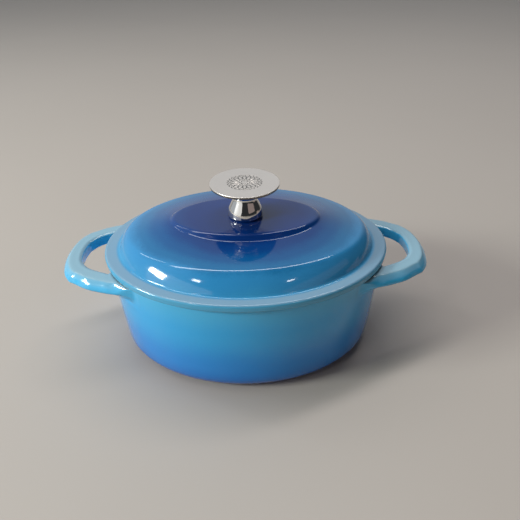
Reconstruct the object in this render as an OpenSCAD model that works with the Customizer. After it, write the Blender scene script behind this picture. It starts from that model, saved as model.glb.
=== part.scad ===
// Oval enamelled cast-iron casserole with two loop handles and a lid with a steel knob.
// Millimetres, +Z up. Origin on the table under the centre of the pot, +X towards the
// right-hand handle, -Y towards the front.

/* [Oval] */
// Length of the lid over its flange, along X
lid_l = 199; // [196:1:204]
// Width of the lid over its flange, along Y
lid_w = 155; // [152:1:158]

/* [Pot] */
// Height of the pot's rim above the table
rim_z = 71.4; // [66:0.2:76]
// How far the lid's flange stands out past the pot's wall
overhang = 3.2; // [2:0.1:4]
// How much narrower the wall is at the table than at the rim, on each side
wall_taper = 4.9; // [3:0.1:6]
// Outward swell of the wall at half height
wall_swell = 1.0; // [0.4:0.1:1.4]
// Thickness of the wall
wall_t = 4.2; // [3.6:0.1:5]
// Thickness of the floor
floor_t = 5; // [4:0.1:7]
// Radius of the corner between wall and base
base_r = 11; // [8:0.5:13]

/* [Handles] */
// Distance from the centre to the outer edge of a handle
handle_reach = 129.6; // [126:0.2:134]
// Width of the handle's bar, seen from above
bar_w = 13.2; // [11:0.1:14]
// Height of the handle's bar
bar_h = 9.4; // [7:0.1:10]
// Drop from the rim to the top of the bar
bar_drop = 0.4; // [0.3:0.1:3]
// Radius of the grip's gently curved centre line
grip_r = 53; // [50:1:60]
// Radius of the centre line round each outer corner
corner_r = 26; // [22:0.5:28]
// Radius of the centre line along each side
side_r = 50; // [44:1:58]

/* [Lid] */
// Gap between the pot's rim and the lid's flange
seat_gap = 0.3; // [0.3:0.05:0.5]
// Thickness of the flange at its edge
flange_t = 5.4; // [4.6:0.1:6]
// Width of the flange, from its edge to the foot of the riser
flange_w = 9.6; // [8.6:0.1:10.6]
// Height of the dome's shoulder above the flange's underside
shoulder_h = 18.7; // [16:0.1:21]
// How far the riser leans in from its foot to the shoulder
riser_lean = 6.8; // [5.5:0.1:8]
// Radius of the shoulder
shoulder_r = 7; // [5:0.5:8]
// Length of the raised plateau in the middle, along X
plateau_l = 100; // [96:0.5:104]
// Width of the plateau, along Y
plateau_w = 56.8; // [54:0.2:60]
// Height of the plateau above the flange's underside
plateau_h = 25.4; // [24.6:0.1:27]
// Height of the step up to the plateau
step_h = 3.3; // [2.6:0.1:3.8]
// Thickness of the lid
lid_t = 4; // [3.4:0.1:4.6]
// Depth of the skirt that keeps the lid centred
skirt_h = 5; // [3:0.5:8]
// Clearance between the skirt and the wall
skirt_gap = 1; // [0.8:0.1:1.6]

/* [Knob] */
// Diameter of the knob's disc
disc_d = 47; // [42:0.5:52]
// Thickness of the disc
disc_t = 2.2; // [1.8:0.1:3]
// Height of the disc's top face above the plateau
knob_h = 24.6; // [22:0.1:28]
// Diameter of the stem near its foot
stem_d = 24.6; // [22:0.1:27]
// Diameter of the stem's neck
neck_d = 14.4; // [13:0.1:15.6]
// Length of the screw under its head
screw_l = 18; // [15:0.5:19]

/* [Hidden] */
$fn = 96;

half_l = lid_l / 2;
half_w = lid_w / 2;

// Turn of one facet of a rounded profile corner
arc_step = 15;
// Overshoot of a cutting shape past the face that it cuts
over = 5;

// Pot
wall_x = half_l - overhang;
foot_x = wall_x - wall_taper;
rim_r = 1.2;
cavity_r = base_r + 3;

// Handles: the bar's long edges are almost half-round
bar_r = 0.48 * bar_h;
// The handle's bar ends inside the pot's wall, at this distance from the middle
root_x = 0.69 * wall_x;

// Lid
seat_z = rim_z + seat_gap;
flange_top = seat_z + flange_t;
flange_rise = 0.6;
flange_r = 1.8;
riser_x = half_l - flange_w;
shoulder_x = riser_x - riser_lean;
shoulder_z = seat_z + shoulder_h;
plateau_z = seat_z + plateau_h;
step_z = plateau_z - step_h;
plateau_x = plateau_l / 2;
step_lean = 2;
skirt_x = wall_x - wall_t - skirt_gap;
skirt_t = 3.4;

// M6 screw, its washers and its hole
thread_r = 3;
tapped_r = 2.6;
hole_r = 3.5;
washer_r = 6;
washer_t = 1.6;
spring_r = 5.5;
spring_t = 1.6;
head_r = 5.4;
head_h = 3.4;
plateau_under = plateau_z - lid_t;
head_z = plateau_under - washer_t - spring_t;

// Gasket and stem
gasket_r = 10;
gasket_t = 0.8;
gasket_proud = 0.1;
stem_r = stem_d / 2;
neck_r = neck_d / 2;
stem_z = plateau_z + gasket_proud;
disc_top = plateau_z + knob_h;
disc_z = disc_top - disc_t;
tapped_top = head_z + screw_l + 1.5;
spigot_r = 4;
spigot_l = 4;
spigot_gap = 0.02;

// Directions in which one arc hands over to the next, as [cos, sin] of exact triangles,
// so that neighbouring arcs meet on one and the same plane
oval_seam = [0.6, 0.8];
grip_seam = [0.96, 0.28];
corner_seam = [0.6, 0.8];
side_seam = [0.28, 0.96];

function unit(v) = v / norm(v);

// Rounds a point to a thousandth of a millimetre
function snap(p) = [round(p.x * 1000) / 1000, round(p.y * 1000) / 1000];

// The shorter way round from one angle to another
function turn_between(from, to) =
    let (d = to - from)
    d > 180 ? d - 360 : d < -180 ? d + 360 : d;

// Points that round corner b of the outline a-b-c with radius r
function corner(a, b, c, r) =
    r <= 0 ? [snap(b)] :
    let (
        u = unit(a - b),
        v = unit(c - b),
        half = acos(u * v) / 2,
        centre = b + unit(u + v) * r / sin(half),
        p = b + u * r / tan(half) - centre,
        q = b + v * r / tan(half) - centre,
        start = atan2(p.y, p.x),
        turn = turn_between(start, atan2(q.y, q.x)),
        n = max(2, ceil(abs(turn) / arc_step))
    )
    [for (i = [0 : n]) snap(centre + r * [cos(start + turn * i / n), sin(start + turn * i / n)])];

// A closed outline from corners given as [x, y, radius]
function rounded(path) =
    let (n = len(path))
    [for (i = [0 : n - 1])
        let (a = path[(i + n - 1) % n], b = path[i], c = path[(i + 1) % n])
        each corner([a.x, a.y], [b.x, b.y], [c.x, c.y], b[2])];

// Half length of the pot's wall at height z, swelling as a parabola
function wall_at(z) =
    let (t = z / rim_z)
    foot_x + wall_taper * t + wall_swell * 4 * t * (1 - t);

// An oval of four arcs that meet along oval_seam, as [x, y, gap]: the end arcs turn about
// [x, 0], the side arcs about [0, y], and those centres are gap apart.
function oval(l, w) =
    let (gap = (l - w) / (oval_seam.x + oval_seam.y - 1))
    [gap * oval_seam.x, gap * oval_seam.y, gap];

main_oval = oval(half_l, half_w);
plateau_oval = oval(plateau_x, plateau_w / 2);

// One quarter of the oval's outline at half length x, from the X axis to the Y axis
function oval_quarter(o, x, steps = 6) =
    let (half = atan2(oval_seam.y, oval_seam.x))
    concat(
        [for (i = [0 : steps]) let (t = half * i / steps)
            snap([o.x + (x - o.x) * cos(t), (x - o.x) * sin(t)])],
        [for (i = [1 : steps]) let (t = half + (90 - half) * i / steps)
            snap([(x - o.x + o[2]) * cos(t), (x - o.x + o[2]) * sin(t) - o.y])]);

// The stretch of a full turn about a centre that lies between two directions
module arc_of(centre, from, to, profile, shift = 0) {
    far = 4 * half_l;
    bottom = min([for (p = profile) p.y]) - 1;
    top = max([for (p = profile) p.y]) + 1;
    translate(centre) intersection() {
        rotate_extrude() translate([shift, 0]) polygon(profile);
        translate([0, 0, bottom]) linear_extrude(top - bottom)
            polygon([[0, 0], far * from, far * to]);
    }
}

// Sweeps a profile round the oval. Its x is the distance from the centre along +X.
module oval_sweep(o, profile) {
    up = oval_seam;
    for (side = [0, 1]) mirror([side, 0, 0])
        arc_of([o.x, 0, 0], [up.x, -up.y], up, profile, -o.x);
    for (side = [0, 1]) mirror([0, side, 0])
        arc_of([0, -o.y, 0], up, [-up.x, up.y], profile, o[2] - o.x);
}

// Fills the middle of a swept oval between two heights
module oval_core(o, x, low, high) {
    quarter = oval_quarter(o, x);
    n = len(quarter);
    outline = concat(
        quarter,
        [for (i = [n - 2 : -1 : 0]) [-quarter[i].x, quarter[i].y]],
        [for (i = [1 : n - 1]) [-quarter[i].x, -quarter[i].y]],
        [for (i = [n - 2 : -1 : 1]) [quarter[i].x, -quarter[i].y]]);
    translate([0, 0, low]) linear_extrude(high - low) polygon(outline);
}

// A whole oval solid: rounded corners [x, z, radius] from its underside up to its top
module oval_solid(o, path) {
    first = path[0];
    last = path[len(path) - 1];
    inner = o.x + 2;
    oval_sweep(o, rounded(concat([[inner, first[1], 0]], path, [[inner, last[1], 0]])));
    oval_core(o, inner + 2, first[1], last[1]);
}

// A solid of revolution from corners given as [r, z, radius]
module turned(path) {
    rotate_extrude() polygon(rounded(path));
}

// ---------------------------------------------------------------- pot

module pot_outside() {
    oval_solid(main_oval, concat(
        [[wall_at(0), 0, base_r]],
        [for (t = [0.25, 0.5, 0.75]) [wall_at(rim_z * t), rim_z * t, 0]],
        [[wall_x, rim_z, rim_r]]));
}

module pot_cavity() {
    oval_solid(main_oval, [
        [wall_at(floor_t) - wall_t, floor_t, cavity_r],
        [wall_at(rim_z / 2) - wall_t, rim_z / 2, 0],
        [wall_x - wall_t, rim_z, 0],
        [wall_x - wall_t, rim_z + over, 0]]);
}

// Cross-section of the handle's bar, centred on its centre line
function bar_section() =
    let (w = bar_w / 2, h = bar_h / 2)
    rounded([[w, -h, bar_r], [w, h, bar_r], [-w, h, bar_r], [-w, -h, bar_r]]);

// One loop handle at +X: a grip, two corners and two sides that run into the wall. Where the
// bend tightens or opens, the next arc's centre lies along the seam between the two.
module handle() {
    bar = bar_section();
    grip_c = [handle_reach - bar_w / 2 - grip_r, 0];
    corner_c = grip_c + (grip_r - corner_r) * grip_seam;
    side_c = corner_c + (corner_r - side_r) * corner_seam;
    side_stop = side_c + side_r * side_seam;
    root_l = (side_stop.x - root_x) / side_seam.y;

    translate([0, 0, rim_z - bar_drop - bar_h / 2]) {
        arc_of(grip_c, [grip_seam.x, -grip_seam.y], grip_seam, bar, grip_r);
        for (side = [0, 1]) mirror([0, side, 0]) {
            arc_of(corner_c, grip_seam, corner_seam, bar, corner_r);
            arc_of(side_c, corner_seam, side_seam, bar, side_r);
            translate(side_stop) rotate([0, 0, -acos(side_seam.y)]) rotate([90, 0, -90])
                linear_extrude(root_l) polygon(bar);
        }
    }
}

// Cast in one piece with both handles
module pot_body() {
    color("#4a9fd0")
    difference() {
        union() {
            pot_outside();
            for (side = [0, 1]) mirror([side, 0, 0]) handle();
        }
        pot_cavity();
    }
}

// ---------------------------------------------------------------- lid

// Flange, riser and dome, with the skirt underneath
module dome() {
    inner = main_oval.x + 2;
    slope = (step_z - shoulder_z) / (shoulder_x - plateau_x - step_lean);
    inner_z = step_z + slope * (plateau_x + step_lean - inner);
    oval_sweep(main_oval, rounded([
        // Outside, from the middle out to the flange's edge
        [inner, inner_z, 0],
        [shoulder_x, shoulder_z, shoulder_r],
        [riser_x, flange_top + flange_rise, 2],
        [half_l, flange_top, flange_r],
        [half_l, seat_z, flange_r],
        // Underside, back in past the skirt
        [skirt_x, seat_z, 0.6],
        [skirt_x - 0.5, seat_z - skirt_h, 1],
        [skirt_x - skirt_t, seat_z - skirt_h, 1],
        [riser_x - lid_t, flange_top, 3],
        [shoulder_x - lid_t + 1, shoulder_z - lid_t, shoulder_r - 2],
        [inner, inner_z - lid_t, 0]]));
    oval_core(main_oval, inner + 2, inner_z - lid_t, inner_z);
}

module lid() {
    color("#2f6fb5")
    difference() {
        union() {
            dome();
            oval_solid(plateau_oval, [
                [plateau_x + step_lean, plateau_under - 1.5, 0],
                [plateau_x + step_lean, step_z, 0],
                [plateau_x - 0.4, plateau_z, 1.2]]);
        }
        oval_solid(plateau_oval, [
            [plateau_x - lid_t + 1, plateau_under - 2 * over, 0],
            [plateau_x - lid_t + 0.4, plateau_under, 1.6]]);
        translate([0, 0, plateau_under - over]) cylinder(r = hole_r, h = lid_t + 2 * over);
    }
}

// ---------------------------------------------------------------- knob

// Bell-shaped stem, recessed underneath for the gasket and tapped for the screw
module knob_stem() {
    color("#c9ccd0")
    difference() {
        turned([
            [0, stem_z, 0],
            [stem_r, stem_z, 1],
            [stem_r - 0.1, stem_z + 3.8, 9],
            [neck_r, stem_z + 14.5, 5],
            [neck_r + 4, disc_z, 0],
            [0, disc_z, 0]]);
        translate([0, 0, plateau_z - over])
            cylinder(r = gasket_r + 0.2, h = gasket_t + over);
        translate([0, 0, plateau_z]) cylinder(r = tapped_r, h = tapped_top - plateau_z);
        translate([0, 0, disc_z - spigot_l - 0.2])
            cylinder(r = spigot_r + spigot_gap, h = spigot_l + over);
    }
}

// Thin disc with a bevelled rim, an engraved ring and a spigot pressed into the stem
module knob_disc() {
    disc_r = disc_d / 2;
    ring_r = 9;
    ring_w = 0.5;
    ring_depth = 0.3;
    color("#b9bbbd")
    difference() {
        turned([
            [0, disc_z - spigot_l, 0],
            [spigot_r, disc_z - spigot_l, 0.5],
            [spigot_r, disc_z, 0],
            [disc_r - 2.6, disc_z, 1.5],
            [disc_r, disc_z + 0.9, 0.5],
            [disc_r, disc_top, 0.6],
            [0, disc_top, 0]]);
        for (r = [ring_r, ring_r + 1.6]) rotate_extrude()
            translate([r, disc_top - ring_depth]) square([ring_w, ring_depth + over]);
    }
}

// Soft ring that keeps the stem off the enamel
module stem_gasket() {
    color("#2b2b2d")
    difference() {
        translate([0, 0, plateau_z]) cylinder(r = gasket_r, h = gasket_t);
        translate([0, 0, plateau_z - over]) cylinder(r = hole_r, h = gasket_t + 2 * over);
    }
}

// Pan-head screw, driven from inside the lid up into the stem
module knob_screw() {
    slot_l = 5.6;
    slot_w = 1.1;
    slot_depth = 2;
    color("#a9adb2")
    difference() {
        turned([
            [0, head_z - head_h, 0],
            [head_r - 0.4, head_z - head_h, 1.8],
            [head_r, head_z, 0.2],
            [thread_r, head_z, 0],
            [thread_r, head_z + screw_l - 0.8, 0],
            [thread_r - 0.8, head_z + screw_l, 0],
            [0, head_z + screw_l, 0]]);
        for (turn = [0, 90]) rotate([0, 0, turn])
            translate([-slot_l / 2, -slot_w / 2, head_z - head_h - over])
                cube([slot_l, slot_w, slot_depth + over]);
    }
}

module flat_washer() {
    color("#b4b8bc")
    difference() {
        translate([0, 0, plateau_under - washer_t]) cylinder(r = washer_r, h = washer_t);
        translate([0, 0, plateau_under - washer_t - over])
            cylinder(r = thread_r + 0.2, h = washer_t + 2 * over);
    }
}

// Split ring with a narrow gap, shown compressed flat
module spring_washer() {
    gap_angle = 14;
    color("#8f9397")
    rotate([0, 0, gap_angle / 2]) rotate_extrude(angle = 360 - gap_angle)
        translate([thread_r + 0.1, head_z]) square([spring_r - thread_r - 0.1, spring_t]);
}

pot_body();
lid();
knob_stem();
knob_disc();
stem_gasket();
knob_screw();
flat_washer();
spring_washer();
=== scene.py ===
import math

import bmesh
import bpy
import numpy as np
from mathutils import Matrix, Vector


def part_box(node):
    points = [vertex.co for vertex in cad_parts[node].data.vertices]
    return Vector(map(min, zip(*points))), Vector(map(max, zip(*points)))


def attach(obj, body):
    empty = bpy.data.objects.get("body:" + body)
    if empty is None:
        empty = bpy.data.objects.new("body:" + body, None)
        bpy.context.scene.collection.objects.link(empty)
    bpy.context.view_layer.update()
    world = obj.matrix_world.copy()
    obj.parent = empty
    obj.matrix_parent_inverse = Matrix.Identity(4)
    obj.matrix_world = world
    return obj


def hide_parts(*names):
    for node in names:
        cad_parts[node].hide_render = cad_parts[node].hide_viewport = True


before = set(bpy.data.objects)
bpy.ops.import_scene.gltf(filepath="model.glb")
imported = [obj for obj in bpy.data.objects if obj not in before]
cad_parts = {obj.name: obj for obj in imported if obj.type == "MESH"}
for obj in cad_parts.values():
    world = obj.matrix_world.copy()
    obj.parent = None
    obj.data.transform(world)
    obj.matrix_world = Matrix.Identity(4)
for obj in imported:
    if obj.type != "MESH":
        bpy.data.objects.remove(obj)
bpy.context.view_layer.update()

MM = 0.001


def box_mm(node):
    """Lowest and highest corner of a CAD node, in millimetres."""
    low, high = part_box(node)
    return low / MM, high / MM


# ---------------------------------------------------------------- sizes, in millimetres

pot_high = box_mm("pot_body")[1]
lid_high = box_mm("lid")[1]
stem_low = box_mm("knob_stem")[0]
disc_low, disc_high = box_mm("knob_disc")

SEAT_GAP = 0.3                          # between the pot's rim and the lid's flange
OVERHANG_X, OVERHANG_Y = 3.3, 2.6       # how far the lid's flange stands out past the wall
TAPER_X, TAPER_Y = 4.9, 3.4             # how much narrower the wall is at the table
WALL_SWELL = 1.0                        # outward swell of the wall at half height
WALL_T = 4.2
FLOOR_T = 5.0
BASE_R = 10.5                           # corner between wall and base, outside
CAVITY_R = BASE_R + 3                   # corner between wall and floor, inside
RIM_R = 1.2

RIM_Z = pot_high.z
PLATEAU_Z = lid_high.z
SEAT_Z = RIM_Z + SEAT_GAP
FLANGE_X, FLANGE_Y = lid_high.x, lid_high.y
WALL_X, WALL_Y = FLANGE_X - OVERHANG_X, FLANGE_Y - OVERHANG_Y
FOOT_X, FOOT_Y = WALL_X - TAPER_X, WALL_Y - TAPER_Y
ROOT_LOW_Z, ROOT_HIGH_Z = 58.6, 70.2    # between these heights a handle grows out of the wall

ARC_POINTS = 7                          # points round each corner of a profile
STRAIGHT_SHARES = (0.05, 0.16, 0.33, 0.5, 0.67, 0.84, 0.95)    # points between two corners
CAGE_ROUNDS = 14                        # rounds of fitting a smooth surface to its points
ON_AXIS = 1e-6                          # a smaller radius is a point on the axis


# ---------------------------------------------------------------- mesh helpers

def new_mesh_object(name, points, faces, materials, slots=None):
    """A smooth-shaded object from points in millimetres, with outward normals."""
    mesh = bpy.data.meshes.new(name)
    mesh.from_pydata((np.asarray(points, float) * MM).tolist(), [], [list(f) for f in faces])
    for material in materials:
        mesh.materials.append(material)
    if slots is not None:
        mesh.polygons.foreach_set("material_index", np.asarray(slots, dtype=np.int32))
    build = bmesh.new()
    build.from_mesh(mesh)
    bmesh.ops.delete(build, geom=[v for v in build.verts if not v.link_faces], context="VERTS")
    bmesh.ops.recalc_face_normals(build, faces=build.faces)
    build.to_mesh(mesh)
    build.free()
    mesh.polygons.foreach_set("use_smooth", [True] * len(mesh.polygons))
    mesh.update()
    obj = bpy.data.objects.new(name, mesh)
    bpy.context.scene.collection.objects.link(obj)
    return obj


def rounded_profile(path, arc_points=ARC_POINTS):
    """An open outline through corners (across, up, radius). Every corner gives the same
    number of points, so that two outlines with the same corners can be blended."""
    corners = [np.array(p[:2], float) for p in path]
    ends = (0, len(corners) - 1)
    runs = []
    for i, here in enumerate(corners):
        if i in ends or path[i][2] <= 0:
            runs.append([here] * (1 if i in ends else arc_points))
            continue
        back, ahead = corners[i - 1] - here, corners[i + 1] - here
        u, v = back / np.linalg.norm(back), ahead / np.linalg.norm(ahead)
        half = math.acos(max(-1.0, min(1.0, float(u @ v)))) / 2
        r = path[i][2]
        centre = here + (u + v) / np.linalg.norm(u + v) * r / math.sin(half)
        p, q = here + u * r / math.tan(half) - centre, here + v * r / math.tan(half) - centre
        start = math.atan2(p[1], p[0])
        turn = (math.atan2(q[1], q[0]) - start + math.pi) % (2 * math.pi) - math.pi
        angles = start + turn * np.linspace(0, 1, arc_points)
        runs.append([centre + r * np.array((math.cos(t), math.sin(t))) for t in angles])
    points = list(runs[0])
    for before, after in zip(runs, runs[1:]):
        a, b = before[-1], after[0]
        points += [a + (b - a) * s for s in STRAIGHT_SHARES]
        points += after
    return np.array(points)


def oval_rows(profile_x, profile_y, columns):
    """Rings of points: row k has half axes and heights from the two profiles."""
    turn = np.arange(columns) * 2 * math.pi / columns
    c, s = np.cos(turn), np.sin(turn)
    x = profile_x[:, :1] * c
    y = profile_y[:, :1] * s
    z = profile_x[:, 1:] * c * c + profile_y[:, 1:] * s * s
    return np.stack([x, y, z], axis=-1)


def ring_faces(rows, columns):
    """Quads between neighbouring rings."""
    faces = []
    for k in range(rows - 1):
        a, b = k * columns, (k + 1) * columns
        for i in range(columns):
            j = (i + 1) % columns
            faces.append((a + i, a + j, b + j, b + i))
    return faces


def limit_points(cage, quads, valence, fixed):
    """Where a Catmull-Clark surface puts each of the cage's points."""
    edges, corners = np.zeros_like(cage), np.zeros_like(cage)
    for k in range(4):
        np.add.at(edges, quads[:, k], (cage[quads[:, k - 1]] + cage[quads[:, (k + 1) % 4]]) / 2)
        np.add.at(corners, quads[:, k], cage[quads[:, (k + 2) % 4]])
    n = valence[:, None]
    limit = (n * n * cage + 4 * edges + corners) / (n * (n + 5))
    return np.where(fixed[:, None], cage, limit)


def fitted_cage(points, quads, fixed):
    """The cage whose smooth surface passes through the given points."""
    quads = np.asarray(quads)
    target = np.asarray(points, float)
    valence = np.maximum(np.bincount(quads.ravel(), minlength=len(target)), 1).astype(float)
    cage = target.copy()
    for _ in range(CAGE_ROUNDS):
        cage += target - limit_points(cage, quads, valence, fixed)
    return cage


def lathe(name, profile, segments, materials):
    """A solid of revolution from points (radius, height), closed on the axis at both ends."""
    turn = np.arange(segments) * 2 * math.pi / segments
    points, faces, starts = [], [], []
    for r, z in profile:
        starts.append(len(points))
        if r < ON_AXIS:
            points.append((0, 0, z))
        else:
            points += [(r * math.cos(t), r * math.sin(t), z) for t in turn]
    for k, (a, b) in enumerate(zip(starts, starts[1:])):
        for i in range(segments):
            j = (i + 1) % segments
            if profile[k][0] < ON_AXIS:
                faces.append((a, b + i, b + j))
            elif profile[k + 1][0] < ON_AXIS:
                faces.append((a + i, b, a + j))
            else:
                faces.append((a + i, a + j, b + j, b + i))
    return new_mesh_object(name, points, faces, materials)


# ---------------------------------------------------------------- materials
# Noise scales are cells per metre. Bump distances and grooves are in metres.

MOTTLE_SCALE, MOTTLE_DRIFT = 38.0, 0.10     # soft clouds along the enamel's gradient
PINHOLE_SCALE, PINHOLE_DRIFT = 900.0, 0.05  # fine specks in it
WAVE_SCALE, PEEL_SCALE = 70.0, 260.0        # slow waves and orange peel of the glaze
PEEL_SHARE = 0.3                            # height of the peel against the waves
GLAZE_ROUGH, GLAZE_ROUGH_RANGE = 0.05, 0.08
GLAZE_IOR, GLAZE_COAT, GLAZE_COAT_ROUGH = 1.5, 0.35, 0.02
FACING_UP_FROM, FACING_UP_TO = 0.45, 0.95   # the normal's height where the painted sheen starts
PAINTED_SHEEN_BLUR = 0.012                           # half width of the painted sheen's border
SMEAR_SCALE, SMEAR_TONE = 55.0, 0.94        # smears on steel, and the darkest against its tint
ENGRAVED_TONE = (0.07, 0.068, 0.065, 1)


def material(name):
    made = bpy.data.materials.new(name)
    made.use_nodes = True
    nodes = made.node_tree.nodes
    return made, nodes, made.node_tree.links, nodes["Principled BSDF"]


def srgb(r, g, b):
    """Linear colour from 0-255 display values."""
    def one(v):
        v /= 255
        return v / 12.92 if v <= 0.04045 else ((v + 0.055) / 1.055) ** 2.4
    return (one(r), one(g), one(b), 1)


def node(nodes, kind, **settings):
    made = nodes.new(kind)
    for key, value in settings.items():
        setattr(made, key, value)
    return made


def object_coordinates(nodes):
    return node(nodes, "ShaderNodeTexCoord").outputs["Object"]


def ramp(nodes, stops, interpolation="EASE"):
    made = node(nodes, "ShaderNodeValToRGB")
    made.color_ramp.interpolation = interpolation
    elements = made.color_ramp.elements
    while len(elements) < len(stops):
        elements.new(0.5)
    for element, (place, colour) in zip(elements, stops):
        element.position = place
        element.color = colour
    return made


def math_node(nodes, links, operation, a, b=None, c=None, clamp=False):
    made = node(nodes, "ShaderNodeMath", operation=operation, use_clamp=clamp)
    for socket, value in zip(made.inputs, (a, b, c)):
        if value is None:
            continue
        if isinstance(value, (int, float)):
            socket.default_value = value
        else:
            links.new(value, socket)
    return made.outputs[0]


def noise(nodes, links, vector, scale, detail=2.0, roughness=0.5, stretch=None):
    made = node(nodes, "ShaderNodeTexNoise")
    made.inputs["Scale"].default_value = scale
    made.inputs["Detail"].default_value = detail
    made.inputs["Roughness"].default_value = roughness
    if stretch is not None:
        mapping = node(nodes, "ShaderNodeMapping")
        mapping.inputs["Scale"].default_value = stretch
        links.new(vector, mapping.inputs["Vector"])
        vector = mapping.outputs["Vector"]
    links.new(vector, made.inputs["Vector"])
    return made.outputs["Fac"]


def bump(nodes, links, height, distance, normal=None):
    made = node(nodes, "ShaderNodeBump")
    made.inputs["Strength"].default_value = 1.0
    made.inputs["Distance"].default_value = distance
    links.new(height, made.inputs["Height"])
    if normal is not None:
        links.new(normal, made.inputs["Normal"])
    return made.outputs["Normal"]


def mixed(nodes, links, share, a, b, blend="MIX"):
    made = node(nodes, "ShaderNodeMix", data_type="RGBA", blend_type=blend)
    sockets = [s for s in made.inputs if s.enabled]
    for socket, value in zip(sockets, (share, a, b)):
        if isinstance(value, (int, float, tuple)):
            socket.default_value = value
        else:
            links.new(value, socket)
    return [s for s in made.outputs if s.enabled][0]


def smooth_share(nodes, links, value, low, high):
    """0 below low, 1 above high, smooth between."""
    made = node(nodes, "ShaderNodeMapRange", interpolation_type="SMOOTHSTEP")
    made.inputs["From Min"].default_value = low
    made.inputs["From Max"].default_value = high
    links.new(value, made.inputs["Value"])
    return made.outputs["Result"]


def upward_share(nodes, links):
    """1 on surfaces that face up, 0 on walls and undersides: the mask of the enamel's painted
    sheen.
    """
    split = node(nodes, "ShaderNodeSeparateXYZ")
    links.new(node(nodes, "ShaderNodeTexCoord").outputs["Normal"], split.inputs["Vector"])
    return smooth_share(nodes, links, split.outputs["Z"], FACING_UP_FROM, FACING_UP_TO)


def enamel(name, place, stops, pale, painted_sheen_from, waviness):
    """Glossy vitreous enamel: a sprayed gradient with soft mottling, orange peel and pinholes.
    place(nodes, links, coordinates) gives where a point lies on the gradient, from 0 to 1;
    past the given share on it, the surfaces that face up take the pale colour, a painted sheen
    that stands in for the reflection of the bright room and the light from above. waviness is in
    metres."""
    made, nodes, links, shader = material(name)
    where = object_coordinates(nodes)
    plain = place(nodes, links, where)
    cloud = noise(nodes, links, where, MOTTLE_SCALE, 3.0)
    fine = noise(nodes, links, where, PINHOLE_SCALE, 2.0)
    drift = math_node(nodes, links, "MULTIPLY_ADD", cloud, MOTTLE_DRIFT, -MOTTLE_DRIFT / 2)
    speck = math_node(nodes, links, "MULTIPLY_ADD", fine, PINHOLE_DRIFT, -PINHOLE_DRIFT / 2)
    along = math_node(nodes, links, "ADD", plain, drift)
    along = math_node(nodes, links, "ADD", along, speck, clamp=True)
    colours = ramp(nodes, stops)
    links.new(along, colours.inputs["Fac"])
    # painted sheen: past that share, surfaces that face up turn pale, standing in for the
    # reflection of the bright room and the light from above
    past = smooth_share(nodes, links, plain, painted_sheen_from - PAINTED_SHEEN_BLUR, painted_sheen_from + PAINTED_SHEEN_BLUR)
    top = math_node(nodes, links, "MULTIPLY", upward_share(nodes, links), past)
    colour = mixed(nodes, links, top, colours.outputs["Color"], pale)
    links.new(colour, shader.inputs["Base Color"])
    rough = math_node(nodes, links, "MULTIPLY_ADD", cloud, GLAZE_ROUGH_RANGE, GLAZE_ROUGH)
    links.new(rough, shader.inputs["Roughness"])
    shader.inputs["IOR"].default_value = GLAZE_IOR
    shader.inputs["Coat Weight"].default_value = GLAZE_COAT
    shader.inputs["Coat Roughness"].default_value = GLAZE_COAT_ROUGH
    peel = noise(nodes, links, where, PEEL_SCALE, 1.5, 0.4)
    wave = noise(nodes, links, where, WAVE_SCALE, 1.0, 0.4)
    normal = bump(nodes, links, wave, waviness)
    normal = bump(nodes, links, peel, PEEL_SHARE * waviness, normal=normal)
    links.new(normal, shader.inputs["Normal"])
    return made


def height_share(low_mm, high_mm):
    """0 at one height and 1 at another, in the piece's own frame."""
    def place(nodes, links, where):
        split = node(nodes, "ShaderNodeSeparateXYZ")
        links.new(where, split.inputs["Vector"])
        share = node(nodes, "ShaderNodeMapRange")
        share.inputs["From Min"].default_value = low_mm * MM
        share.inputs["From Max"].default_value = high_mm * MM
        links.new(split.outputs["Z"], share.inputs["Value"])
        return share.outputs["Result"]
    return place


def oval_share(half_x_mm, half_y_mm):
    """0 in the middle and 1 on the oval with those half axes."""
    def place(nodes, links, where):
        scaled = node(nodes, "ShaderNodeVectorMath", operation="MULTIPLY")
        scaled.inputs[1].default_value = (1 / (half_x_mm * MM), 1 / (half_y_mm * MM), 0)
        links.new(where, scaled.inputs[0])
        length = node(nodes, "ShaderNodeVectorMath", operation="LENGTH")
        links.new(scaled.outputs["Vector"], length.inputs[0])
        return length.outputs["Value"]
    return place


# The pale colours below are a painted sheen on surfaces that face up, standing in for the
# reflection of the bright room and the light from above.
POT_ENAMEL = enamel(
    "pot enamel", height_share(0, RIM_Z),
    [(0.0, srgb(5, 90, 184)), (0.3, srgb(14, 136, 218)), (0.7, srgb(38, 165, 228)),
     (1.0, srgb(68, 178, 226))],
    pale=srgb(138, 176, 194), painted_sheen_from=0.86, waviness=0.0001)
LID_ENAMEL = enamel(
    "lid enamel", oval_share(FLANGE_X, FLANGE_Y),
    [(0.0, srgb(3, 39, 102)), (0.38, srgb(5, 46, 112)), (0.5, srgb(8, 60, 124)),
     (0.62, srgb(12, 84, 142)), (0.72, srgb(24, 106, 158)), (0.82, srgb(48, 134, 188)),
     (1.0, srgb(70, 160, 200))],
    pale=srgb(120, 158, 184), painted_sheen_from=0.915, waviness=0.00003)


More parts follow.
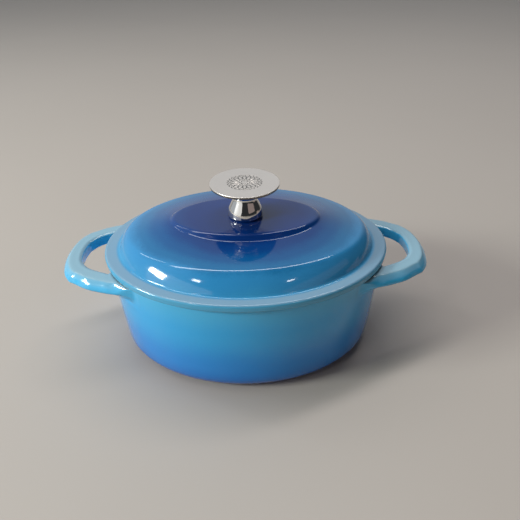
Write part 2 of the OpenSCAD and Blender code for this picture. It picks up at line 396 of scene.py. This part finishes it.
def cream_enamel():
    """Glossy cream enamel with a few dark pinholes, on the inside of pot and lid."""
    made, nodes, links, shader = material("cream enamel")
    where = object_coordinates(nodes)
    cloud = noise(nodes, links, where, 30.0, 3.0)
    colour = mixed(nodes, links, cloud, srgb(222, 212, 190), srgb(236, 228, 208))
    speck = noise(nodes, links, where, 1400.0, 1.0)
    spots = ramp(nodes, [(0.0, (0.55, 0.5, 0.42, 1)), (0.27, (1, 1, 1, 1))], "LINEAR")
    links.new(speck, spots.inputs["Fac"])
    spotted = mixed(nodes, links, 1.0, colour, spots.outputs["Color"], "MULTIPLY")
    links.new(spotted, shader.inputs["Base Color"])
    rough = math_node(nodes, links, "MULTIPLY_ADD", cloud, 0.1, 0.1)
    links.new(rough, shader.inputs["Roughness"])
    shader.inputs["Coat Weight"].default_value = 0.3
    shader.inputs["Coat Roughness"].default_value = 0.03
    normal = bump(nodes, links, noise(nodes, links, where, 80.0, 1.0, 0.4), 0.00012)
    peel = noise(nodes, links, where, 300.0, 1.5)
    links.new(bump(nodes, links, peel, 0.00003, normal=normal), shader.inputs["Normal"])
    return made


def dull(name, dark, light, cloud_scale, rough, rough_range, grain_scale, grain_depth):
    """A dull surface between two tones, with a fine grain."""
    made, nodes, links, shader = material(name)
    where = object_coordinates(nodes)
    cloud = noise(nodes, links, where, cloud_scale, 3.0)
    links.new(mixed(nodes, links, cloud, dark, light), shader.inputs["Base Color"])
    amount = math_node(nodes, links, "MULTIPLY_ADD", cloud, rough_range, rough)
    links.new(amount, shader.inputs["Roughness"])
    grain = noise(nodes, links, where, grain_scale, 2.0)
    links.new(bump(nodes, links, grain, grain_depth), shader.inputs["Normal"])
    return made


def steel(name, tint, rough_low, rough_high, stretch, scale, groove, engraved=False):
    """Steel with fine grain: stretch pulls the grain out along one direction. Engraved lines
    are darker where the mesh says so."""
    made, nodes, links, shader = material(name)
    where = object_coordinates(nodes)
    grain = noise(nodes, links, where, scale, 3.0, 0.6, stretch)
    smear = noise(nodes, links, where, SMEAR_SCALE, 2.0)
    shader.inputs["Metallic"].default_value = 1.0
    darkest = tuple(v * SMEAR_TONE for v in tint) + (1,)
    colour = mixed(nodes, links, smear, darkest, tint + (1,))
    if engraved:
        lines = node(nodes, "ShaderNodeAttribute", attribute_name="engraved").outputs["Fac"]
        colour = mixed(nodes, links, lines, colour, ENGRAVED_TONE)
    links.new(colour, shader.inputs["Base Color"])
    amount = math_node(nodes, links, "MULTIPLY_ADD", grain, rough_high - rough_low, rough_low)
    links.new(amount, shader.inputs["Roughness"])
    links.new(bump(nodes, links, grain, groove), shader.inputs["Normal"])
    return made


CREAM = cream_enamel()
DARK_RIM = dull("dark rim", srgb(24, 26, 30), srgb(48, 50, 54), 160.0, 0.5, 0.25, 1500.0, 0.00008)
RUBBER = dull("gasket rubber", srgb(34, 34, 36), srgb(52, 52, 54), 220.0, 0.55, 0.2,
              2500.0, 0.00003)
POLISHED = steel("polished steel", (0.80, 0.79, 0.77), 0.03, 0.07, (1, 1, 1), 500.0, 0.0000006)
BRUSHED = steel("brushed steel", (1.0, 0.91, 0.83), 0.24, 0.42, (0.03, 1, 1), 5000.0, 0.000006,
                engraved=True)
# painted shade: the disc's edge is steel tinted dark, standing in for the dark surroundings it
# reflects
STEEL_EDGE_PAINTED_SHADE = steel("steel edge with painted shade", (0.20, 0.19, 0.18), 0.12, 0.24, (1, 1, 0.2), 1500.0,
                  0.000002)
FASTENER = steel("fastener steel", (0.62, 0.61, 0.59), 0.22, 0.38, (1, 1, 0.2), 1800.0,
                 0.000008)


# ---------------------------------------------------------------- pot

OUTSIDE, BARE_RIM, INSIDE = 0, 1, 2     # material slots of pot and lid
COLUMNS = 144                           # columns of the wall, all the way round
BASE_SHARES = (0.12, 0.4, 0.7, 0.9)     # rings of the flat base, from its middle
FLOOR_SHARES = (0.85, 0.6, 0.35, 0.12)  # rings of the flat floor, to its middle
BASE_STEPS, CAVITY_STEPS = 6, 5         # steps round the outer and the inner corner
OUTSIDE_Z = (16, 23, 31, 39, 46, 52, 55.8, ROOT_LOW_Z, 62.4, 66.3, ROOT_HIGH_Z)
INSIDE_Z = (64, 55, 45, 35, 26)
RIM_BEVEL = 0.35                        # middle of the rim's inner rounding

BAR_W, BAR_H = 13.2, 9.4                # the handle's bar
BAR_DROP = 0.4                          # from the rim to the bar's top
BAR_MIDDLE_Z = RIM_Z - BAR_DROP - BAR_H / 2

# the handle's outer and inner edge from above: (centre, radius) of each arc
GRIP_CENTRE, GRIP_R = np.array((70.0, 0.0)), 53.0
GRIP_OUTER = (GRIP_CENTRE, GRIP_R + BAR_W / 2)
GRIP_INNER = (GRIP_CENTRE, GRIP_R - BAR_W / 2)
CORNER_OUTER = (np.array((95.92, 7.56)), 32.6)
CORNER_INNER = (np.array((94.2, 3.8)), 22.0)
SIDE_OUTER = (np.array((81.0, -13.4)), 57.3)
SIDE_INNER_START, SIDE_INNER_STEP = np.array((105.9, 22.5)), np.array((-0.51, 0.25))

# where the bar's sections stand, as angles in degrees
GRIP_ANGLES = (0.0, 8.1, 15.0)
TURN_ANGLES = (22.0, 30.0, 40.0, 50.0, 60.0, 67.0, 73.74)
OUTER_CORNER_END = 45                   # past it the outer edge follows the side's arc
INNER_CORNER_END = 60                   # past it the inner edge is straight
INNER_CORNER_START, INNER_CORNER_RATE = 27.0, 0.816

# sections of the straight part before the wall: (inner, outer, share of the collar's shape)
STRAIGHT_SECTIONS = ((np.array((96.0, 27.3)), np.array((91.4, 43.6)), 0.25),
                     (np.array((93.6, 28.4)), np.array((85.6, 45.1)), 0.6))
STRAIGHT_RISE = 0.4                     # how much of that share also holds for the height

# the handle's root in the wall
ROOT_COLUMNS = (8, 16)                  # the wall's columns that one root covers
ROOT_SPAN = ROOT_COLUMNS[1] - ROOT_COLUMNS[0]
ROOT_ROWS = 3
CORNER_LIFT, CORNER_SHIFT = 1.7, 0.45   # rounds the root's low outer corner: mm up, columns in
COLLAR_OUT = 2.4                        # the collar's distance from the wall
COLLAR_PULL_INNER, COLLAR_PULL_OUTER = 1.8, 4.6     # how much narrower than the root it is
COLLAR_EXTRA_H, COLLAR_DROP = 1.0, 0.35
COLLAR_BEVEL = 0.55                     # how much of the bar's bevel is there at the collar
# how far each point of the root is from the bar's inner (0) to its outer edge (1)
ROOT_SHARE = np.array([0, *np.linspace(0, 1, ROOT_SPAN + 1)[1:-1], 1, 1, 1,
                       *np.linspace(1, 0, ROOT_SPAN + 1), 0, 0])


def wall_axes(z):
    """Half axes of the pot's outside at height z."""
    t = z / RIM_Z
    swell = WALL_SWELL * 4 * t * (1 - t)
    return (FOOT_X + (WALL_X - FOOT_X) * t + swell, FOOT_Y + (WALL_Y - FOOT_Y) * t + swell)


def pot_rows():
    """Rows (half x, half y, z, slot of the faces up to the next row) from the middle of the
    base, up the outside, over the rim and down the inside to the middle of the floor."""
    foot_x, foot_y = wall_axes(0)
    flat_x, flat_y = foot_x - BASE_R, foot_y - BASE_R
    rows = [(flat_x * share, flat_y * share, 0.0, OUTSIDE) for share in BASE_SHARES]
    for step in range(BASE_STEPS + 1):
        angle = math.pi / 2 * step / BASE_STEPS
        z = BASE_R * (1 - math.cos(angle))
        out = BASE_R * math.sin(angle)
        lean_x, lean_y = wall_axes(z)
        blend = step / BASE_STEPS
        rows.append((flat_x + out + (lean_x - foot_x) * blend,
                     flat_y + out + (lean_y - foot_y) * blend, z, OUTSIDE))
    rows += [(*wall_axes(z), z, OUTSIDE) for z in OUTSIDE_Z]
    for angle, slot in ((math.pi / 4, OUTSIDE), (math.pi / 2, BARE_RIM)):
        inset = RIM_R * (1 - math.cos(angle))
        rows.append((WALL_X - inset, WALL_Y - inset, RIM_Z - RIM_R * (1 - math.sin(angle)), slot))
    inner_x, inner_y = WALL_X - WALL_T, WALL_Y - WALL_T
    rows.append((inner_x + RIM_R, inner_y + RIM_R, RIM_Z, BARE_RIM))
    rows.append((inner_x + RIM_BEVEL, inner_y + RIM_BEVEL, RIM_Z - RIM_BEVEL, INSIDE))
    rows.append((inner_x, inner_y, RIM_Z - RIM_R, INSIDE))
    for z in INSIDE_Z:
        x, y = wall_axes(z)
        rows.append((x - WALL_T, y - WALL_T, z, INSIDE))
    low_x, low_y = (v - WALL_T for v in wall_axes(FLOOR_T + CAVITY_R))
    for step in range(CAVITY_STEPS + 1):
        angle = math.pi / 2 * (1 - step / CAVITY_STEPS)
        inset = CAVITY_R * (1 - math.sin(angle))
        rows.append((low_x - inset, low_y - inset,
                     FLOOR_T + CAVITY_R * (1 - math.cos(angle)), INSIDE))
    end_x, end_y = rows[-1][0], rows[-1][1]
    rows += [(end_x * share, end_y * share, FLOOR_T, INSIDE) for share in FLOOR_SHARES]
    return rows


def bar_outline():
    """Points round the handle's bar as (share across from inner to outer edge, height above
    the middle): along the top and down its outer bevel, back along the bottom, up inside."""
    w, h = BAR_W / 2, BAR_H / 2
    top = [(-w + 0.7, h - 0.7), (-w + 2.1, h - 0.05), (-w + 3.9, h), (w - 7.4, h), (w - 5.8, h),
           (w - 4.7, h - 0.1), (w - 3.8, h - 0.5), (w - 2.5, h - 1.8), (w - 1.0, h - 3.7)]
    outer = [(w, h - 5.9), (w - 0.25, 2.4 - h)]
    bottom = [(w - 1.5, 0.8 - h), (w - 3.2, 0.1 - h), (w - 5.0, -h), (w - 6.6, -h), (0, -h),
              (-w + 5.0, -h), (-w + 3.6, -h), (-w + 2.3, 0.1 - h), (-w + 0.8, 0.8 - h)]
    inner = [(-w, 2.6 - h), (-w, h - 2.2)]
    return np.array([((x + w) / (2 * w), z) for x, z in top + outer + bottom + inner])


OUTLINE = bar_outline()


def bar_section(inner, outer):
    """The bar's outline between its inner and outer edge, two points seen from above."""
    plan = inner + (outer - inner) * OUTLINE[:, :1]
    return np.column_stack([plan, BAR_MIDDLE_Z + OUTLINE[:, 1]])


def on_arc(arc, angle):
    centre, radius = arc
    turn = math.radians(angle)
    return centre + radius * np.array((math.cos(turn), math.sin(turn)))


def curved_sections():
    """Sections of the bar from the middle of the grip to the end of the +Y side's arc."""
    sections = [bar_section(on_arc(GRIP_INNER, angle), on_arc(GRIP_OUTER, angle))
                for angle in GRIP_ANGLES]
    for angle in TURN_ANGLES:
        outer = on_arc(CORNER_OUTER if angle < OUTER_CORNER_END else SIDE_OUTER, angle)
        if angle <= INNER_CORNER_END:
            turned = INNER_CORNER_START + (angle - TURN_ANGLES[0]) * INNER_CORNER_RATE
            inner = on_arc(CORNER_INNER, turned)
        else:
            inner = SIDE_INNER_START + (angle - INNER_CORNER_END) * SIDE_INNER_STEP
        sections.append(bar_section(inner, outer))
    return sections


def collar(root):
    """The ring just off the wall, where the fillets are nearly done."""
    root_middle = (ROOT_LOW_Z + ROOT_HIGH_Z) / 2
    ring = []
    for p, share in zip(root, ROOT_SHARE):
        normal = np.array((p[0] / WALL_X ** 2, p[1] / WALL_Y ** 2, 0.0))
        normal /= np.linalg.norm(normal)
        along = np.array((-normal[1], normal[0], 0.0))
        pull = COLLAR_PULL_INNER * (1 - share) ** 2 - COLLAR_PULL_OUTER * share ** 2
        q = p + COLLAR_OUT * normal + along * pull
        rise = (p[2] - root_middle) * (BAR_H + COLLAR_EXTRA_H) / (ROOT_HIGH_Z - ROOT_LOW_Z)
        q[2] = BAR_MIDDLE_Z + rise - COLLAR_DROP
        ring.append(q)
    for i in range(ROOT_SPAN + 1):          # the bevel starts at the wall
        ring[i][2] -= COLLAR_BEVEL * (BAR_H / 2 - OUTLINE[i, 1])
    return np.array(ring)


def handle_sections(root):
    """Rings of half a handle, from just off the wall to the middle of the grip."""
    near_wall = collar(root)
    chord = near_wall[ROOT_SPAN, :2] - near_wall[0, :2]
    bow = near_wall[:, :2] - (near_wall[0, :2] + chord * ROOT_SHARE[:, None])
    sections = curved_sections()
    for inner, outer, share in STRAIGHT_SECTIONS:
        straight = bar_section(inner, outer)
        straight[:, :2] += share * bow
        straight[:, 2] += share * STRAIGHT_RISE * (near_wall[:, 2] - straight[:, 2])
        sections.append(straight)
    sections.append(near_wall)
    return sections[::-1]


def root_columns(corner):
    """Wall columns of one handle root, from the inner edge of the bar to its outer edge."""
    run = range(ROOT_COLUMNS[0], ROOT_COLUMNS[1] + 1)
    if corner == 1:
        return [COLUMNS // 2 - c for c in run]
    if corner == 2:
        return [COLUMNS // 2 + c for c in run]
    if corner == 3:
        return [COLUMNS - c for c in run]
    return list(run)


def root_ring(corner, low):
    """The wall's points round one handle root, in the order of the bar's outline."""
    run = root_columns(corner)
    top = low + ROOT_ROWS
    ring = [top * COLUMNS + c for c in run]
    ring += [(top - 1) * COLUMNS + run[-1], (top - 2) * COLUMNS + run[-1]]
    ring += [low * COLUMNS + c for c in reversed(run)]
    ring += [(low + 1) * COLUMNS + run[0], (low + 2) * COLUMNS + run[0]]
    return ring


def pot_wall():
    """Points, faces and slots of the pot without its handles, with a hole for each handle
    root, and the row on which the holes start."""
    rows = pot_rows()
    turn = np.arange(COLUMNS) * 2 * math.pi / COLUMNS
    points = [(x * math.cos(t), y * math.sin(t), z) for x, y, z, _ in rows for t in turn]
    low = next(k for k, row in enumerate(rows) if row[2] == ROOT_LOW_Z)
    holes = set()
    for corner in range(4):
        run = root_columns(corner)
        z = ROOT_LOW_Z + CORNER_LIFT
        x, y = wall_axes(z)
        t = turn[run[-1]] + (turn[run[-2]] - turn[run[-1]]) * CORNER_SHIFT
        points[low * COLUMNS + run[-1]] = (x * math.cos(t), y * math.sin(t), z)
        for a, b in zip(run, run[1:]):
            holes |= {(low + k, min(a, b)) for k in range(ROOT_ROWS)}
    faces, slots = [], []
    for k in range(len(rows) - 1):
        a, b = k * COLUMNS, (k + 1) * COLUMNS
        for i in range(COLUMNS):
            if (k, i) in holes:
                continue
            j = (i + 1) % COLUMNS
            faces.append((a + i, a + j, b + j, b + i))
            slots.append(rows[k][3])
    return points, faces, slots, low


def build_pot():
    points, faces, slots, low = pot_wall()
    last = len(points) - COLUMNS
    sections = handle_sections(np.array([points[i] for i in root_ring(0, low)]))
    count = len(OUTLINE)
    for side_x, corners in ((1, (0, 3)), (-1, (1, 2))):
        halves = []
        for corner, side_y in zip(corners, (1, -1)):
            rings = [root_ring(corner, low)]
            for section in sections[:-1]:
                rings.append(list(range(len(points), len(points) + count)))
                points += [(p[0] * side_x, p[1] * side_y, p[2]) for p in section]
            halves.append(rings)
        middle = list(range(len(points), len(points) + count))
        points += [(p[0] * side_x, p[1], p[2]) for p in sections[-1]]
        chain = halves[0] + [middle] + halves[1][::-1]
        for a, b in zip(chain, chain[1:]):
            for i in range(count):
                j = (i + 1) % count
                faces.append((a[i], a[j], b[j], b[i]))
                slots.append(OUTSIDE)

    caps = [tuple(range(COLUMNS)), tuple(range(last, last + COLUMNS))]
    fixed = np.ones(len(points), bool)
    fixed[np.unique(faces)] = False         # a point inside a handle's root has no face
    fixed[:COLUMNS] = True
    fixed[last:last + COLUMNS] = True
    cage = fitted_cage(points, faces, fixed)
    shell = new_mesh_object("pot_shell", cage, faces + caps, [POT_ENAMEL, DARK_RIM, CREAM],
                            slots + [OUTSIDE, INSIDE])
    smooth = shell.modifiers.new("smooth", "SUBSURF")
    smooth.levels = smooth.render_levels = 2
    smooth.use_limit_surface = True
    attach(shell, "pot")
    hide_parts("pot_body")


build_pot()


# ---------------------------------------------------------------- lid

LID_COLUMNS = 192
HOLE_R = 3.5                            # the knob screw's hole
BOSS_T = 4.0                            # thickness of the plateau
SKIRT_H = 5.0                           # how far the skirt drops into the pot
FLANGE_TOP_Z = 77.1
FLANGE_LOW_CORNER, SKIRT_CORNER = 8, 9  # corners of the profile, counted from the hole
SLOT_LEAD = 4                           # a slot starts this many rows before its corner


def lid_profile(axis):
    """Corners (across, up, radius) from the screw hole over the plateau, the dome and the
    flange, then back underneath, along one of the oval's axes."""
    def pick(x, y):
        return x if axis == "x" else y
    under = PLATEAU_Z - BOSS_T
    return [
        (HOLE_R, under, 0),
        (HOLE_R, PLATEAU_Z, 0.3),
        # plateau's edge and foot
        (pick(50.0, 27.6), PLATEAU_Z, pick(5.0, 2.6)),
        (pick(52.3, 30.3), pick(95.4, 93.6), pick(4.0, 2.6)),
        # dome, shoulder and the crease on the flange
        (pick(82.5, 58.5), pick(88.2, 89.8), pick(8.0, 6.0)),
        (pick(86.9, 64.5), pick(84.0, 84.4), pick(14.0, 50.0)),
        (pick(88.9, 69.4), 77.4, pick(2.6, 2.1)),
        # flange
        (pick(FLANGE_X, FLANGE_Y), FLANGE_TOP_Z, 1.8),
        (pick(FLANGE_X, FLANGE_Y), SEAT_Z, 1.8),
        # skirt
        (pick(91.1, 69.9), SEAT_Z, 0.6),
        (pick(90.6, 69.4), SEAT_Z - SKIRT_H, 1.0),
        (pick(87.6, 66.4), SEAT_Z - SKIRT_H, 1.0),
        # inside of the dome and of the plateau
        (pick(84.6, 65.2), FLANGE_TOP_Z, 3.0),
        (pick(80.0, 55.8), pick(84.2, 85.8), 5.0),
        (pick(50.0, 28.2), pick(90.6, 89.7), 1.2),
        (pick(46.4, 24.6), under, 1.6),
        (HOLE_R, under, 0)]


def build_lid():
    along_x = rounded_profile(lid_profile("x"))[:-1]
    along_y = rounded_profile(lid_profile("y"))[:-1]
    count = len(along_x)
    points = oval_rows(along_x, along_y, LID_COLUMNS).reshape(-1, 3)
    faces = ring_faces(count, LID_COLUMNS)
    last = (count - 1) * LID_COLUMNS
    for i in range(LID_COLUMNS):            # the wall of the screw hole closes the ring of rows
        j = (i + 1) % LID_COLUMNS
        faces.append((last + i, last + j, j, i))
    per_corner = ARC_POINTS + len(STRAIGHT_SHARES)
    bare_from = 1 + FLANGE_LOW_CORNER * per_corner - SLOT_LEAD
    inside_from = 1 + SKIRT_CORNER * per_corner - SLOT_LEAD
    slots = []
    for k in range(count):
        slot = OUTSIDE if k < bare_from else BARE_RIM if k < inside_from else INSIDE
        slots += [slot] * LID_COLUMNS
    shell = new_mesh_object("lid_shell", points, faces, [LID_ENAMEL, DARK_RIM, CREAM], slots)
    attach(shell, "lid_assembly")
    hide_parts("lid")


build_lid()


# ---------------------------------------------------------------- knob

SPIGOT_L = 4.0                          # the disc's pin reaches this far into the stem
DISC_R = disc_high.x
DISC_TOP = disc_high.z
DISC_UNDER = disc_low.z + SPIGOT_L
STEM_SEGMENTS, STEM_ARC_POINTS = 128, 10
DISC_SEGMENTS, DISC_ARC_POINTS = 384, 6
ENGRAVED_R = 12.8                       # the ornament lies inside this radius
ENGRAVED_LINE, ENGRAVED_DEPTH = 0.3, 0.16
ENGRAVED_RINGS = 96
# closed waves of the ornament: (middle radius, swing, petals)
ROSETTES = ((11.3, 0.45, 24), (7.2, 2.7, 8), (7.2, -2.7, 8), (2.8, 0.5, 6))


def build_stem():
    foot = stem_low.z
    profile = rounded_profile([
        (0, foot, 0),
        (11.6, foot, 1.0),
        (12.3, foot + 1.5, 2.0),            # widest, just above the foot
        (11.7, foot + 5.6, 10.0),
        (7.3, foot + 14.3, 5.0),            # waist
        (11.0, DISC_UNDER, 0),
        (0, DISC_UNDER, 0)], arc_points=STEM_ARC_POINTS)
    stem = lathe("knob_stem_turned", profile, STEM_SEGMENTS, [POLISHED])
    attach(stem, "lid_assembly")
    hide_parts("knob_stem")


def engraving(r, turn):
    """Depth of the ornament on top of the disc, from 0 to 1: two interlaced rosettes inside
    a scalloped ring, round a small centre ring."""
    depth = 0.0
    for middle, swing, petals in ROSETTES:
        curve = middle + swing * math.cos(petals * turn)
        lean = math.hypot(1, petals * swing * math.sin(petals * turn) / middle)
        depth = max(depth, math.exp(-((r - curve) / (ENGRAVED_LINE * lean)) ** 2))
    return depth


def build_disc():
    profile = rounded_profile([
        (0, DISC_UNDER, 0),
        (DISC_R - 1.9, DISC_UNDER, 1.2),
        (DISC_R, DISC_UNDER + 0.7, 0.4),
        (DISC_R, DISC_TOP, 0.3),
        (ENGRAVED_R, DISC_TOP, 0)], arc_points=DISC_ARC_POINTS)
    radii = np.concatenate([np.linspace(ENGRAVED_R, 2.0, ENGRAVED_RINGS)[1:], [1.4, 0.9, 0.4]])
    turn = np.arange(DISC_SEGMENTS) * 2 * math.pi / DISC_SEGMENTS
    points, starts, carved = [], [], []
    for r, z in profile[1:]:
        starts.append(len(points))
        points += [(r * math.cos(t), r * math.sin(t), z) for t in turn]
        carved += [0.0] * DISC_SEGMENTS
    for r in radii:
        starts.append(len(points))
        depths = [engraving(r, t) for t in turn]
        points += [(r * math.cos(t), r * math.sin(t), DISC_TOP - ENGRAVED_DEPTH * d)
                   for t, d in zip(turn, depths)]
        carved += depths
    bottom, top = len(points), len(points) + 1
    points += [(0, 0, DISC_UNDER), (0, 0, DISC_TOP)]
    carved += [0.0, 0.0]

    # the edge slot takes the steel with painted shade
    under, face, edge = 0, 1, 2             # slots
    straight = len(STRAIGHT_SHARES)
    edge_start = 2 * straight + DISC_ARC_POINTS
    face_start = 3 * straight + 2 * DISC_ARC_POINTS
    faces, slots = [], []
    for i in range(DISC_SEGMENTS):
        faces.append((bottom, starts[0] + (i + 1) % DISC_SEGMENTS, starts[0] + i))
        slots.append(under)
    for k, (a, b) in enumerate(zip(starts, starts[1:])):
        for i in range(DISC_SEGMENTS):
            j = (i + 1) % DISC_SEGMENTS
            faces.append((a + i, a + j, b + j, b + i))
            slots.append(face if k >= face_start else edge if k >= edge_start else under)
    for i in range(DISC_SEGMENTS):
        faces.append((top, starts[-1] + i, starts[-1] + (i + 1) % DISC_SEGMENTS))
        slots.append(face)
    disc = new_mesh_object("knob_disc_engraved", points, faces, [POLISHED, BRUSHED, STEEL_EDGE_PAINTED_SHADE],
                           slots)
    attribute = disc.data.attributes.new("engraved", "FLOAT", "POINT")
    attribute.data.foreach_set("value", np.array(carved, dtype=np.float32))
    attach(disc, "lid_assembly")
    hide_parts("knob_disc")


build_stem()
build_disc()

for name, finish in (("stem_gasket", RUBBER), ("knob_screw", FASTENER),
                     ("flat_washer", FASTENER), ("spring_washer", FASTENER)):
    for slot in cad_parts[name].material_slots:
        slot.material = finish


# ---------------------------------------------------------------- stage, light, camera

FLOOR_REACH, FLOOR_SIDES = 6.0, 64      # radius in metres
BRIGHT_SIDE = (-0.62, 0.74, 0.26)       # where the room is brightest
FACING_DARK, FACING_BRIGHT = -0.05, 0.5     # how much a direction points to that side
ROOM_DARK, ROOM_BRIGHT = 0.03, 0.51     # strength of the room's light there
ROOM_COLOUR = (0.90, 0.96, 1.02, 1)
LIGHT_AIM = (0, 0, 0.06)
WHITE = (1, 1, 1)
# soft boxes: (name, direction seen from the pot, distance, size, radiance, colour), in metres
LIGHTS = (
    ("left window", (-0.84, -0.26, 0.46), 2.0, (0.52, 0.36), 48, (0.92, 1.0, 0.95)),
    ("soft window", (-0.72, -0.52, 0.30), 2.0, (1.9, 1.3), 0.8, (1.0, 0.99, 0.96)),
    ("front window", (-0.48, -0.55, 0.68), 2.0, (0.17, 0.10), 26, WHITE),
    ("right pane", (0.42, -0.60, 0.68), 2.0, (0.18, 0.05), 16, WHITE),
    ("warm corner", (0.74, -0.52, 0.47), 2.0, (2.2, 0.5), 0.24, (1.0, 0.76, 0.70)),
    ("low pane", (1.0, -0.03, 0.06), 2.0, (0.7, 0.45), 0.28, (1.0, 0.76, 0.66)),
    ("left strip", (-0.62, 0.30, 0.72), 2.0, (0.12, 0.7), 7, (0.95, 0.98, 1.0)),
    ("overhead strip", (-0.08, 0.18, 0.98), 1.6, (2.2, 0.2), 8.5, WHITE))
CAMERA_LENS = CAMERA_SENSOR = 36.0
CAMERA_PLACE = (9.71, -319.35, 269.14)  # in millimetres, before the turn about Z
CAMERA_TURN, CAMERA_PITCH, CAMERA_ROLL = -1.52, 33.32, -0.71    # degrees


def stage_floor():
    """A wide pale floor."""
    made, nodes, links, shader = material("studio floor")
    where = object_coordinates(nodes)
    cloud = noise(nodes, links, where, 3.0, 3.0)
    colour = mixed(nodes, links, cloud, srgb(178, 168, 160), srgb(183, 173, 165))
    links.new(colour, shader.inputs["Base Color"])
    shader.inputs["Roughness"].default_value = 0.6
    reach, sides = FLOOR_REACH / MM, FLOOR_SIDES
    turn = [2 * math.pi * i / sides for i in range(sides)]
    rim = [(reach * math.cos(t), reach * math.sin(t), 0) for t in turn]
    new_mesh_object("floor", rim, [tuple(range(sides))], [made])


def soft_box(name, direction, distance, size, radiance, colour):
    """A soft box seen from the pot in one direction, as bright as its radiance says."""
    light = bpy.data.lights.new(name, "AREA")
    light.shape = "RECTANGLE"
    light.size, light.size_y = size
    light.energy = radiance * math.pi * size[0] * size[1]
    light.color = colour
    obj = bpy.data.objects.new(name, light)
    bpy.context.scene.collection.objects.link(obj)
    place = Vector(direction).normalized() * distance
    obj.location = place
    obj.rotation_euler = (Vector(LIGHT_AIM) - place).to_track_quat("-Z", "Y").to_euler()


def build_world():
    """A pale room, brighter behind and to the left than in front and to the right."""
    world = bpy.data.worlds.new("studio")
    bpy.context.scene.world = world
    world.use_nodes = True
    nodes, links = world.node_tree.nodes, world.node_tree.links
    background = nodes["Background"]
    facing = node(nodes, "ShaderNodeVectorMath", operation="DOT_PRODUCT")
    links.new(node(nodes, "ShaderNodeTexCoord").outputs["Generated"], facing.inputs[0])
    facing.inputs[1].default_value = BRIGHT_SIDE
    share = node(nodes, "ShaderNodeMapRange", interpolation_type="SMOOTHSTEP")
    share.inputs["From Min"].default_value = FACING_DARK
    share.inputs["From Max"].default_value = FACING_BRIGHT
    share.inputs["To Min"].default_value = ROOM_DARK
    share.inputs["To Max"].default_value = ROOM_BRIGHT
    links.new(facing.outputs["Value"], share.inputs["Value"])
    links.new(share.outputs["Result"], background.inputs["Strength"])
    background.inputs["Color"].default_value = ROOM_COLOUR


def build_camera():
    """In front of the pot, looking down on it."""
    camera = bpy.data.cameras.new("camera")
    camera.lens, camera.sensor_width = CAMERA_LENS, CAMERA_SENSOR
    obj = bpy.data.objects.new("camera", camera)
    bpy.context.scene.collection.objects.link(obj)
    turned = Matrix.Rotation(math.radians(CAMERA_TURN), 4, "Z")
    pitched = Matrix.Rotation(math.radians(90 - CAMERA_PITCH), 4, "X")
    rolled = Matrix.Rotation(math.radians(CAMERA_ROLL), 4, "Z")
    place = Matrix.Translation(Vector(CAMERA_PLACE) * MM)
    obj.matrix_world = turned @ place @ pitched @ rolled
    bpy.context.scene.camera = obj


stage_floor()
build_world()
for light in LIGHTS:
    soft_box(*light)
build_camera()
bpy.context.scene.view_settings.view_transform = "Standard"
